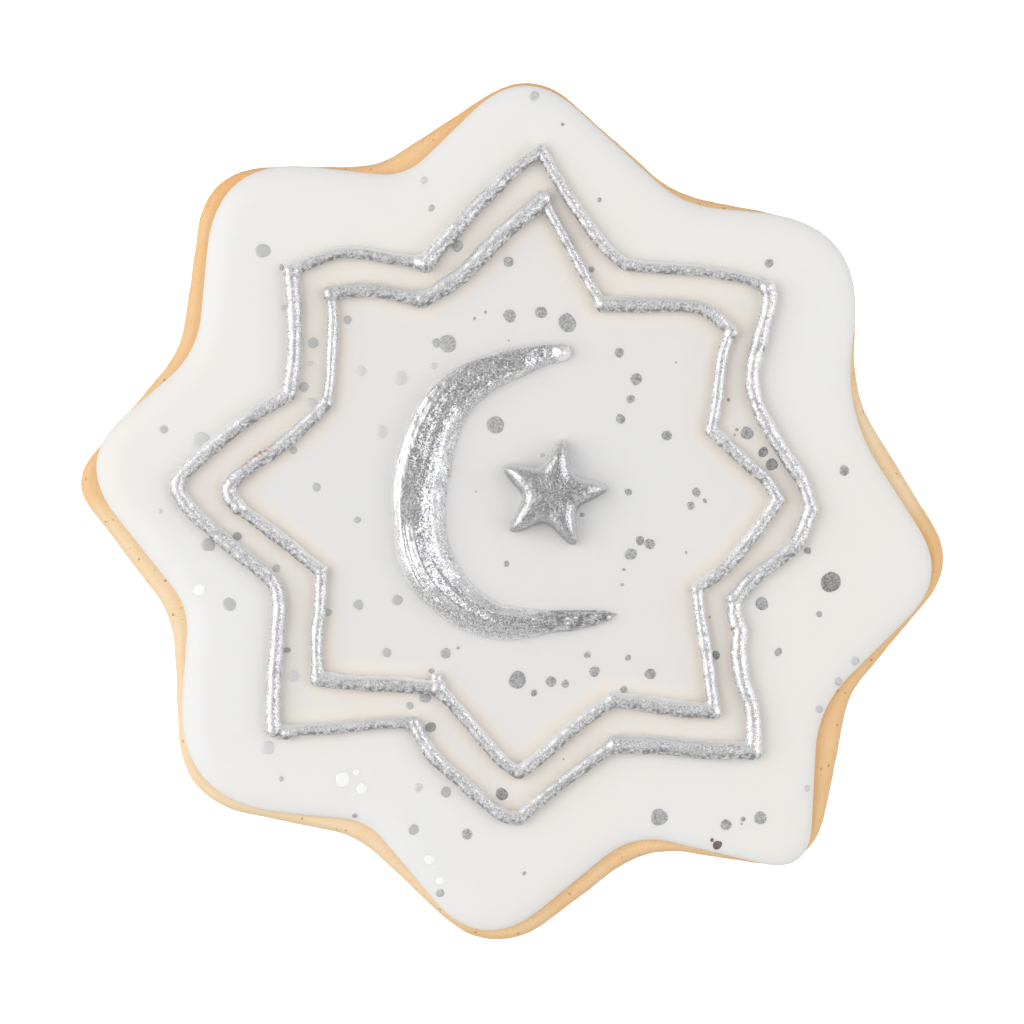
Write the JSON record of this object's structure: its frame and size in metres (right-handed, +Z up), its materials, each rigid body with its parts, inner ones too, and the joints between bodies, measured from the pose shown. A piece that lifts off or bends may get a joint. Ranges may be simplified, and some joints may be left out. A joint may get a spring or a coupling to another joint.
{
  "type": "iced sugar cookie",
  "caption": "Star-shaped biscuit under white icing, with silver piped outlines, a raised crescent, a puffy star and a silver spatter.",
  "frame": {"origin": "middle of the outline, on the surface the biscuit lies on", "axes": "+Z up out of the iced face, +Y towards the top point of the design, +X to its right"},
  "size_m": [0.0913, 0.0907, 0.0109],
  "materials": {
    "baked_dough": "dry fine crumb, pale gold, a little browner at the rim and the foot",
    "white_icing": "smooth set sugar icing, soft sheen",
    "silver_paint": "brushed-on edible silver lustre, fine granular glitter"
  },
  "bodies": {
    "root": {"biscuit": "baked_dough", "icing": "white_icing", "outer_line": "silver_paint", "inner_line": "silver_paint", "crescent": "silver_paint", "star": "silver_paint"}
  },
  "joints": []
}
